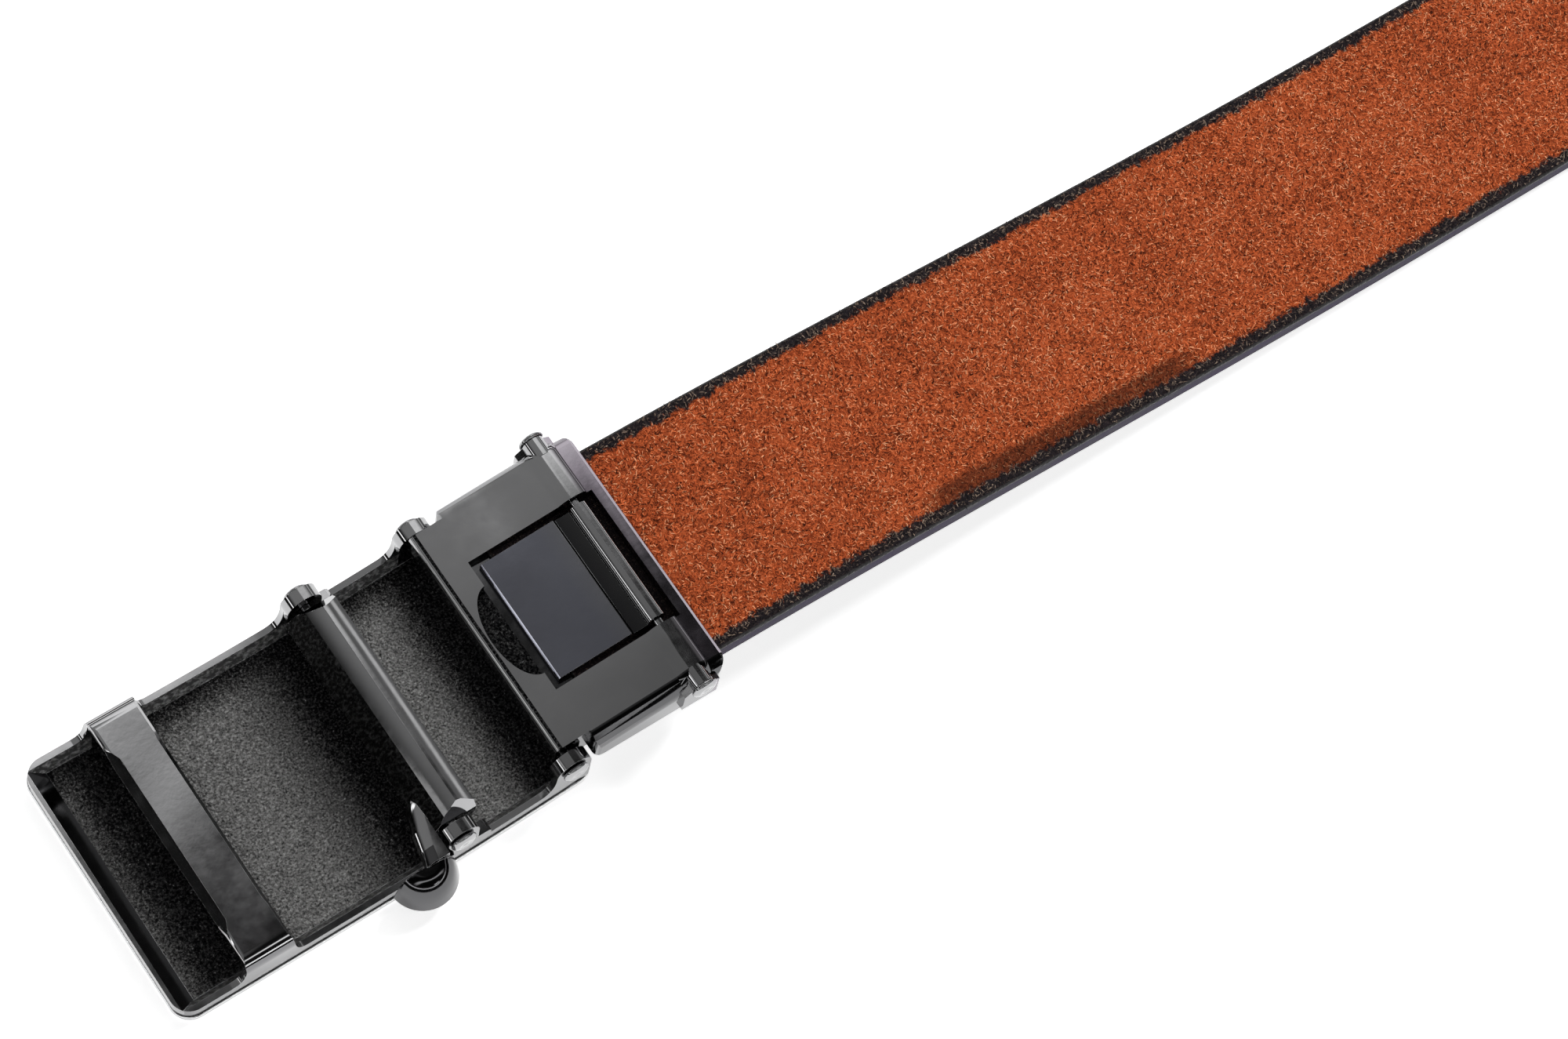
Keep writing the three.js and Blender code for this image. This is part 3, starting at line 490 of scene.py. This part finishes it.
def raw_cast(name, low, high):
    """An unpolished casting: lumps and short scratches between two greys."""
    finish = Finish(name)
    lumps = finish.noise(0.45, 4.0, 0.65, (0.6, 1, 1))
    scratches = finish.noise(0.22, 3.0, 0.7, (0.35, 1.6, 1))
    height = finish.sum(lumps, scratches)
    return finish.connect(
        base_color=finish.colours(lumps, (0.46, (low,) * 3), (0.72, (high,) * 3)),
        metallic=1.0,
        roughness=finish.ramp(scratches, 0.3, 0.7, 0.30, 0.52),
        normal=finish.bump(height, 0.12, 0.9),
    )


pebbled = pebbled_plate("pebbled_plate")
raw = raw_cast("raw_casting", 0.10, 0.60)
raw_shade = raw_cast("black_casting", 0.002, 0.045)
print("castings:", [m.name for m in (pebbled, raw, raw_shade)])

# %% [markdown]
# ## Cast pieces
# A copy of each CAD solid is the start: its loose triangles are merged, flat runs are joined, and its
# edges are rounded with a bevel, because no die-cast edge is sharp and each rounding catches a line of
# light. A short rule for each piece says which faces are polished, pebbled or raw, from where the face is
# and how it leans, and the roundings take the last finish in the piece's list.

# %% Copy of a CAD solid with rounded edges
SAME_POINT, NO_LENGTH, FLAT_TURN = 2e-6, 1e-5, math.radians(0.4)


def cast_copy(node, name, finishes, which, rounding, steps=3, corner=28.0):
    """A CAD solid's mesh with whole faces, a finish for each face and rounded edges."""
    source = NODES[node]
    mesh = source.data.copy()
    mesh.name = name
    mesh.materials.clear()
    for material in finishes:
        mesh.materials.append(material)
    form = bmesh.new()
    form.from_mesh(mesh)
    bmesh.ops.remove_doubles(form, verts=form.verts, dist=SAME_POINT)
    bmesh.ops.dissolve_degenerate(form, edges=form.edges, dist=NO_LENGTH)
    bmesh.ops.dissolve_limit(form, angle_limit=FLAT_TURN, verts=form.verts, edges=form.edges)
    for face in form.faces:
        face.material_index = which(face.calc_center_median() / MM, face.normal)
        face.smooth = True
    form.to_mesh(mesh)
    form.free()
    piece = bpy.data.objects.new(name, mesh)
    bpy.context.scene.collection.objects.link(piece)
    bevel = piece.modifiers.new("rounding", "BEVEL")
    bevel.width = rounding * MM
    bevel.segments = steps
    bevel.limit_method = "ANGLE"
    bevel.angle_limit = math.radians(corner)
    bevel.use_clamp_overlap = True
    bevel.material = len(finishes) - 1
    even = piece.modifiers.new("even_light", "WEIGHTED_NORMAL")
    even.keep_sharp = False
    return piece


def settle(piece):
    """Turns the modifiers' result into the piece's own mesh."""
    graph = bpy.context.evaluated_depsgraph_get()
    made = bpy.data.meshes.new_from_object(piece.evaluated_get(graph))
    old = piece.data
    piece.modifiers.clear()
    piece.data = made
    made.name = piece.name
    bpy.data.meshes.remove(old)
    return piece


def stand_for(piece, body, *nodes):
    """Lets a finished piece take the place of CAD solids and ride on their body."""
    settle(piece)
    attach(piece, body)
    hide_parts(*nodes)
    triangles = sum(len(p.vertices) - 2 for p in piece.data.polygons)
    print(piece.name, "stands for", nodes, "with", triangles, "triangles")
    return piece


# %% [markdown]
# The tray's plate bows upwards to its right, so the rule for its floor follows the same arc. The pawl's
# left flank was never polished, because it bites the track, and it is painted darker than the tray's
# slopes, as shade.

# %% Buckle frame, face plate and pawl
PLATE, PEBBLED, RAW, SIDE, DARK = range(5)
CASTING = [plate_metal, pebbled, raw, side_shade_metal, near_black_shade_metal, highlight_metal]
# The pawl's flank takes a near-black copy of the raw casting: painted shade.
PAWL_CASTING = CASTING.copy()
PAWL_CASTING[RAW] = raw_shade

BOW_RADIUS, BOW_START = 261.0, 6.0
FLOOR_TOP, FLOOR_HALF, FLOOR_BAND = 1.5, 18.5, 0.25
SLOPE_TOP, SLOPE_HALF, END_WALL = 1.6, 20.0, -14
LEVEL, SLOPING, UPRIGHT = 0.9, (0.3, 0.95), 0.7
KNOB_SIDE, FLANK_NEAR, FLANK_RIGHT, FLANK_LEAN = -19, -17, 24.5, -0.55


def bow(x):
    """How far the tray's plate has risen at one place along the belt."""
    return 0 if x < BOW_START else BOW_RADIUS - math.sqrt(BOW_RADIUS**2 - (x - BOW_START) ** 2)


# Steep sides take the darker plate and the left end wall's slope the near-black one: both painted shade.
def frame_finish(at, lean):
    above = at.z - FLOOR_TOP - bow(at.x)
    if abs(at.y) < FLOOR_HALF and abs(above) < FLOOR_BAND and lean.z > LEVEL:
        return PEBBLED
    if above < SLOPE_TOP and SLOPING[0] < lean.z < SLOPING[1] and abs(at.y) < SLOPE_HALF:
        return RAW if at.x > END_WALL else DARK
    return SIDE if abs(lean.y) > UPRIGHT else PLATE


def front_finish(at, lean):
    return PLATE


# The knob takes the near-black plate and the left flank the near-black raw casting: painted shade.
def pawl_finish(at, lean):
    if at.y < KNOB_SIDE:
        return DARK
    return RAW if lean.x < FLANK_LEAN and at.y > FLANK_NEAR and at.x < FLANK_RIGHT else PLATE


tray = cast_copy("buckle_frame", "cast_tray", CASTING, frame_finish, rounding=0.28)
stand_for(tray, "buckle", "buckle_frame")
front = cast_copy("face_plate", "front_plate", CASTING, front_finish, rounding=0.22)
stand_for(front, "buckle", "face_plate")
ratchet_pawl = cast_copy("pawl", "ratchet_pawl", PAWL_CASTING, pawl_finish, rounding=0.25)
stand_for(ratchet_pawl, "pawl_lever", "pawl")

# %% [markdown]
# The clamp is one casting too: polished outside, and painted dark inside its window and on its near
# shoulder, as the shade of faces that turn away from the room's light. The finger notch keeps a pebbled
# floor. The flap is flat stock that is folded round its pin, so it has a blade, a groove painted dark as
# its shade and a barrel, and each gets its own plate.

# %% Clamp housing and its flap
WINDOW_LEFT, WINDOW_RIGHT, WINDOW_HALF = 45.2, 65, 10.8
NOTCH_LEFT, NOTCH_RIGHT, NOTCH_HALF = 41, 45.3, 8.5
UNDER_TOP, NEAR_SHOULDER, SHOULDER_LEAN, SIDE_LEAN = 13.3, -16, 0.12, 0.35
BLADE, GROOVE, BARREL = range(3)
FLAP_METALS = (flap_metal, groove_shade_metal, plate_metal, side_shade_metal)
GROOVE_LEFT, BARREL_LEFT = 57.9, 59.8


# The window's inside and the near shoulder take the near-black plate, steep sides the darker one: painted
# shade.
def housing_finish(at, lean):
    if at.z < UNDER_TOP and NOTCH_LEFT < at.x < NOTCH_RIGHT and abs(at.y) < NOTCH_HALF:
        return PEBBLED
    if at.z < UNDER_TOP and WINDOW_LEFT < at.x < WINDOW_RIGHT and abs(at.y) < WINDOW_HALF:
        return DARK
    if lean.y < -SHOULDER_LEAN and lean.z > SHOULDER_LEAN and at.y < NEAR_SHOULDER:
        return DARK
    return SIDE if abs(lean.y) > SIDE_LEAN else PLATE


def flap_finish(at, lean):
    if at.x > BARREL_LEFT:
        return BARREL
    return GROOVE if at.x > GROOVE_LEFT else BLADE


sleeve = cast_copy("clamp_housing", "clamp_sleeve", CASTING, housing_finish, rounding=0.45, steps=4)
stand_for(sleeve, "strap_side", "clamp_housing")
flap = cast_copy("clamp_flap", "bite_flap_plate", FLAP_METALS, flap_finish, rounding=0.2)
stand_for(flap, "bite_flap", "clamp_flap")

# %% [markdown]
# ## Riveted pins
# Each hinge turns on a steel pin whose ends are peened over into low domed heads. The two heads are one
# shape, so a Geometry Nodes tree sets it on both ends of the shaft, turned outwards. A peened head is
# never quite smooth: its rim is crisp, its crown has a shallow dished ring from the punch.

# %% Riveted pins
HEAD_PROFILE = (
    (1.78, 0.0), (1.9, 0.1), (1.9, 0.34), (1.8, 0.5), (1.5, 0.68), (1.15, 0.8), (0.95, 0.82),
    (0.8, 0.76), (0.55, 0.78), (0.25, 0.86), (0.04, 0.88),
)
PIN_RADIUS = 0.7
HEAD_HEIGHT = 0.9


def riveted_pin(node, name, body, head):
    """A plain shaft on a CAD pin's axis, with a head set on each end."""
    low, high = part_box(node)
    axis_x, axis_z = (low.x + high.x) / 2 / MM, (low.z + high.z) / 2 / MM
    reach = high.y / MM - HEAD_HEIGHT
    rows, sides = 5, 16
    points, faces = [], []
    for row in range(rows):
        for k in range(sides):
            turn = 2 * math.pi * k / sides
            y = reach * (2 * row / (rows - 1) - 1)
            points.append((axis_x + PIN_RADIUS * math.cos(turn), y, axis_z + PIN_RADIUS * math.sin(turn)))
    for row in range(rows - 1):
        for k in range(sides):
            a, b = row * sides + k, row * sides + (k + 1) % sides
            faces.append((a, a + sides, b + sides, b))
    shaft = plain_mesh(name, points, faces)
    growth = Growth(name + "_heads", Head=head, Reach=reach * MM, Axis_X=axis_x * MM, Axis_Z=axis_z * MM,
                    Material=plate_metal)
    start = growth.vector(growth.given["Axis_X"], growth.math("MULTIPLY", growth.given["Reach"], -1.0),
                          growth.given["Axis_Z"])
    step = growth.vector(0.0, growth.math("MULTIPLY", growth.given["Reach"], 2.0), 0.0)
    ends = growth.node("GeometryNodeMeshLine", {"Count": 2, "Start Location": start, "Offset": step})
    which = growth.node("GeometryNodeInputIndex").outputs[0]
    turn = growth.math("MULTIPLY_ADD", which, -math.pi, math.pi / 2)
    shape = growth.node("GeometryNodeObjectInfo", {"Object": growth.given["Head"]}).outputs["Geometry"]
    heads = growth.node(
        "GeometryNodeInstanceOnPoints",
        {"Points": ends.outputs[0], "Instance": shape, "Rotation": growth.vector(turn)},
    )
    growth.finish(growth.join(growth.given["Geometry"], heads.outputs[0]))
    return stand_for(growth.grow(shaft), body, node)


rivet_head = turned("rivet_head", HEAD_PROFILE, sides=20)
riveted_pin("flap_pin", "flap_rivet", "strap_side", rivet_head)
riveted_pin("hinge_pin", "hinge_rivet", "strap_side", rivet_head)
riveted_pin("pawl_pin", "pawl_rivet", "buckle", rivet_head)
bpy.data.objects.remove(rivet_head)

# %% [markdown]
# ## Strap
# The strap is split leather with its flesh side up. Its nap is a felt of short fibres in rust, sand and
# dark brown; the edges are painted black, and the paint has run 1 to 2 mm over the nap in a ragged line.

# %% Suede, painted edge and grain
NAP = (
    (0.14, (0.045, 0.008, 0.003)),
    (0.32, (0.250, 0.040, 0.011)),
    (0.58, (0.600, 0.112, 0.030)),
    (0.80, (0.800, 0.200, 0.068)),
    (0.97, (0.930, 0.430, 0.220)),
)
STAIN_ALONG = ((103, 108), (154, 149))
STAIN_ACROSS = (-12.1, -13.1)
PAINT_FROM, PAINT_TO, PAINT_RUN = 14.9, 15.4, 0.9
# Where the painted shade inside the clamp begins, along the strap in mm.
CLAMP_SHADE_FROM, CLAMP_SHADE_TO = 67.6, 67.0


def suede(name, shade_from_fibre):
    """Rust-coloured nap with a dark stain near its side, black paint run over its borders, and black
    painted shade where the clamp holds it."""
    finish = Finish(name)
    if shade_from_fibre:
        nap = finish.node("ShaderNodeAttribute", attribute_name="shade").outputs["Fac"]
    else:
        nap = finish.ramp(finish.noise(0.34, 4.0, 0.8, (1, 1, 1), 0.8), 0.25, 0.75)
    clouds = finish.ramp(finish.noise(11.0, 3.0, 0.6), 0.3, 0.7, -0.05, 0.05)
    body = finish.colours(finish.sum(nap, clouds), *NAP)
    blotches = finish.ramp(finish.noise(5.0, 4.0, 0.65), 0.20, 0.50, 0.5, 1.0)
    beside = finish.ramp(finish.along("Y"), STAIN_ACROSS[0] * MM, STAIN_ACROSS[1] * MM)
    along_strap = finish.stretch_between(finish.along("X"), *STAIN_ALONG)
    stain = finish.times(finish.times(blotches, beside), along_strap)
    body = finish.mix(finish.times(stain, 0.7), body, (0.050, 0.014, 0.007))
    edge = finish.math("ABSOLUTE", finish.along("Y"))
    run = finish.ramp(finish.noise(1.3, 6.0, 0.75), 0.3, 0.7, -PAINT_RUN * MM, PAINT_RUN * MM)
    painted = finish.ramp(finish.sum(edge, run), PAINT_FROM * MM, PAINT_TO * MM)
    # Painted shade: the strap turns black where it goes into the clamp.
    clamp_shade = finish.ramp(finish.along("X"), CLAMP_SHADE_FROM * MM, CLAMP_SHADE_TO * MM)
    painted = finish.larger(painted, clamp_shade)
    black = finish.colours(nap, (0.3, (0.005, 0.004, 0.006)), (0.64, (0.016, 0.013, 0.018)),
                           (0.92, (0.32, 0.235, 0.175)))
    if not shade_from_fibre:
        finish.connect(normal=finish.bump(nap, 0.25, 0.8))
    return finish.connect(
        base_color=finish.mix(painted, body, black),
        roughness=finish.ramp(painted, 0, 1, 0.9, 0.6),
        specular_ior_level=0.25,
        sheen_weight=0.08,
        sheen_roughness=0.5,
        sheen_tint=(0.9, 0.55, 0.4),
    )


def painted_edge(name):
    finish = Finish(name)
    streaks = finish.noise(0.7, 4.0, 0.6, (0.2, 1, 1))
    lumps = finish.noise(0.3, 3.0, 0.7)
    return finish.connect(
        base_color=finish.colours(streaks, (0.3, (0.010, 0.007, 0.018)), (0.75, (0.046, 0.032, 0.075))),
        specular_ior_level=0.15,
        roughness=finish.ramp(streaks, 0.3, 0.7, 0.50, 0.70),
        normal=finish.bump(finish.sum(streaks, lumps), 0.12, 0.6),
    )


def black_grain(name):
    finish = Finish(name)
    pores = finish.cells(0.9, "DISTANCE_TO_EDGE")
    fine = finish.noise(0.5, 4.0, 0.6)
    height = finish.sum(finish.ramp(pores, 0.0, 0.25), finish.times(fine, 0.4))
    return finish.connect(
        base_color=finish.colours(fine, (0.3, (0.014, 0.013, 0.013)), (0.7, (0.030, 0.028, 0.028))),
        roughness=finish.ramp(fine, 0.3, 0.7, 0.38, 0.52),
        normal=finish.bump(height, 0.15, 0.6),
    )


nap_finish = suede("suede_nap", shade_from_fibre=False)
fibre_finish = suede("suede_fibre", shade_from_fibre=True)
edge_finish = painted_edge("painted_edge")
grain_finish = black_grain("black_grain")
print("strap's finishes:", [m.name for m in (nap_finish, fibre_finish, edge_finish, grain_finish)])

# %% [markdown]
# The strap itself is the CAD solid's form. Its upper side gets the nap, its underside the smooth grain and
# its cut sides the paint. Its edges are rounded too, because paint is put on in coats that soften them.

# %% Leather strap
FLESH_SIDE, CUT_SIDE, GRAIN_SIDE = range(3)
STRAP_FINISHES = (nap_finish, edge_finish, grain_finish)


def strap_finish(at, lean):
    if lean.z > 0.5:
        return FLESH_SIDE
    return GRAIN_SIDE if lean.z < -0.5 else CUT_SIDE


strap = cast_copy("strap", "leather_strap", STRAP_FINISHES, strap_finish, rounding=0.35, corner=50)
stand_for(strap, "strap_side", "strap")

# %% [markdown]
# ## Nap of the strap
# Split leather shows its cut fibres: short curled blades that lie every way and catch the light one by
# one. A Geometry Nodes tree scatters them over the strap's upper side, with a fixed seed, a random turn,
# lean and length, and a random shade that the material reads. The first stretch, which the picture shows
# closely, gets a dense nap; the rest of the strap gets a thinner one.

# %% Fibres
CLAMP_MOUTH, PICTURE_EDGE, NEAR_TIP, NAP_HALF = 67.5, 262, 1190, 16.6


def fibre_blade():
    """One curled fibre: a short strip that rises to its middle and narrows to a lower tip."""
    half, length, crest, tip = 0.055, 0.6, 0.11, 0.05
    middle = 0.5 * length
    points = [(0, -half, 0), (0, half, 0), (middle, half, crest), (middle, -half, crest), (length, 0, tip)]
    return plain_mesh("fibre_blade", points, [(0, 3, 2, 1), (3, 4, 2)])


def nap_fibres(name, blade, seed, per_mm2, from_x, to_x):
    """Fibres all over one stretch of the strap's upper side, out to a given distance from its middle."""
    growth = Growth(name + "_scatter", Blade=blade, Seed=seed, Density=per_mm2 / MM**2, From_X=from_x * MM,
                    To_X=to_x * MM, Side=NAP_HALF * MM, Material=fibre_finish)
    lean = growth.node("ShaderNodeSeparateXYZ", {0: growth.node("GeometryNodeInputNormal").outputs[0]})
    upper = growth.math("GREATER_THAN", lean.outputs["Z"], 0.7)
    scatter = growth.node(
        "GeometryNodeDistributePointsOnFaces",
        {"Mesh": growth.given["Geometry"], "Selection": upper, "Density": growth.given["Density"],
         "Seed": growth.given["Seed"]},
    )
    at = growth.node("ShaderNodeSeparateXYZ", {0: growth.node("GeometryNodeInputPosition").outputs[0]})
    outside = growth.math("ADD", growth.math("LESS_THAN", at.outputs["X"], growth.given["From_X"]),
                          growth.math("GREATER_THAN", at.outputs["X"], growth.given["To_X"]))
    aside = growth.math("GREATER_THAN", growth.math("ABSOLUTE", at.outputs["Y"]), growth.given["Side"])
    kept = growth.node(
        "GeometryNodeDeleteGeometry",
        {"Geometry": scatter.outputs["Points"], "Selection": growth.math("ADD", outside, aside)},
        domain="POINT",
    )

    def chance(low, high, offset, kind="FLOAT"):
        """A random value between two others for each fibre, from the tree's seed and an offset."""
        node = growth.node("FunctionNodeRandomValue", data_type=kind)
        sockets = [s for s in node.inputs if s.enabled]
        sockets[0].default_value, sockets[1].default_value = low, high
        seeded = growth.math("ADD", growth.given["Seed"], offset)
        growth.tree.links.new(seeded, node.inputs["Seed"])
        return next(s for s in node.outputs if s.enabled)

    shaded = growth.node(
        "GeometryNodeStoreNamedAttribute",
        {"Geometry": kept.outputs[0], "Name": "shade", "Value": chance(0.05, 1.0, 1.0)},
        data_type="FLOAT",
        domain="POINT",
    )
    turn = chance((0.0, -0.75, 0.0), (0.0, 0.15, 2 * math.pi), 2.0, "FLOAT_VECTOR")
    size = chance((0.6, 0.6, 0.5), (1.5, 1.4, 1.4), 3.0, "FLOAT_VECTOR")
    shape = growth.node("GeometryNodeObjectInfo", {"Object": growth.given["Blade"]}).outputs["Geometry"]
    blades = growth.node(
        "GeometryNodeInstanceOnPoints",
        {"Points": shaded.outputs[0], "Instance": shape, "Rotation": turn, "Scale": size},
    )
    growth.finish(blades.outputs[0])
    bed = bpy.data.objects.new(name, strap.data.copy())
    bpy.context.scene.collection.objects.link(bed)
    settle(growth.grow(bed))
    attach(bed, "strap_side")
    print(name, "has", len(bed.data.vertices) // len(blade.data.vertices), "blades")
    return bed


blade = fibre_blade()
nap_fibres("near_nap", blade, seed=7, per_mm2=10.0, from_x=CLAMP_MOUTH, to_x=PICTURE_EDGE)
nap_fibres("far_nap", blade, seed=19, per_mm2=1.2, from_x=PICTURE_EDGE, to_x=NEAR_TIP)
bpy.data.objects.remove(blade)

# %% [markdown]
# ## Ratchet track
# A moulded strip of teeth lies on the strap near its free end, and the pawl drops into it one tooth at a
# time. Its black plastic is nearly plain: one fine noise varies its colour and its gloss.

# %% Track plastic
def track_plastic(name):
    finish = Finish(name)
    fine = finish.noise(0.6, 3.0)
    return finish.connect(
        base_color=finish.colours(fine, (0.3, (0.010, 0.010, 0.010)), (0.7, (0.026, 0.026, 0.027))),
        roughness=finish.ramp(fine, 0.3, 0.7, 0.38, 0.55),
        normal=finish.bump(fine, 0.03, 0.5),
    )


track_finish = track_plastic("track_plastic")
print("finish:", track_finish.name)

# %% [markdown]
# The teeth repeat at one pitch, so one tooth is drawn and a Geometry Nodes tree sets it along a line on a
# thin base. The tooth is drawn as a profile that is swept across the strip, and the sweep's end rows drop
# a little, because a moulded tooth has soft ends.

# %% Track base and teeth
TEETH, PITCH, TRACK_WIDTH, BASE = 36, 6.35, 9.0, 0.5
TOOTH_PROFILE = (
    (0.0, 0.0), (0.62, 0.60), (0.72, 0.745), (0.755, 0.80), (0.79, 0.775), (0.8, 0.70), (0.8, 0.0),
)
TOOTH_ROWS = ((-1.0, 0.0), (-0.97, 0.7), (-0.9, 1.0), (0.9, 1.0), (0.97, 0.7), (1.0, 0.0))
END_DROP, ROOT = 0.09, -0.02


def tooth_shape():
    """One tooth: a long ramp, a rounded crest and a steep face, with its ends broken."""
    points, faces = [], []
    for across, share in TOOTH_ROWS:
        drop = (1 - share) * END_DROP
        for x, z in TOOTH_PROFILE:
            points.append((x * PITCH, across * TRACK_WIDTH / 2, max(z - drop, ROOT)))
    count, rows = len(TOOTH_PROFILE), len(TOOTH_ROWS)
    for row in range(rows - 1):
        for k in range(count - 1):
            a = row * count + k
            faces.append((a, a + 1, a + 1 + count, a + count))
    faces.append(tuple(reversed(range(count))))
    faces.append(tuple(range((rows - 1) * count, rows * count)))
    return plain_mesh("track_tooth", points, faces)


def toothed_track():
    """The strip's base with bevelled upper edges, and the teeth that its tree sets on it."""
    low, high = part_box("ratchet_track")
    left, right, under = low.x / MM, high.x / MM, low.z / MM
    half, bevel = TRACK_WIDTH / 2, 0.12
    rows = ((0.0, 0.0), (0.0, BASE - bevel), (bevel, BASE))
    points = [
        (x, y, under + z)
        for inset, z in rows
        for x, y in ((left + inset, inset - half), (right - inset, inset - half),
                     (right - inset, half - inset), (left + inset, half - inset))
    ]
    faces = [(3, 2, 1, 0), (8, 9, 10, 11)]
    for row in (0, 4):
        faces += [(row + k, row + (k + 1) % 4, row + 4 + (k + 1) % 4, row + 4 + k) for k in range(4)]
    base = plain_mesh("toothed_track", points, faces)
    tooth = tooth_shape()
    growth = Growth("track_teeth", Tooth=tooth, Count=TEETH, Pitch=PITCH * MM, Left=left * MM,
                    Height=(under + BASE) * MM, Material=track_finish)
    start = growth.vector(growth.given["Left"], 0.0, growth.given["Height"])
    step = growth.vector(growth.given["Pitch"])
    line = growth.node(
        "GeometryNodeMeshLine",
        {"Count": growth.given["Count"], "Start Location": start, "Offset": step},
    )
    shape = growth.node("GeometryNodeObjectInfo", {"Object": growth.given["Tooth"]}).outputs["Geometry"]
    teeth = growth.node("GeometryNodeInstanceOnPoints", {"Points": line.outputs[0], "Instance": shape})
    growth.finish(growth.join(growth.given["Geometry"], teeth.outputs[0]))
    stand_for(growth.grow(base), "strap_side", "ratchet_track")
    bpy.data.objects.remove(tooth)


toothed_track()
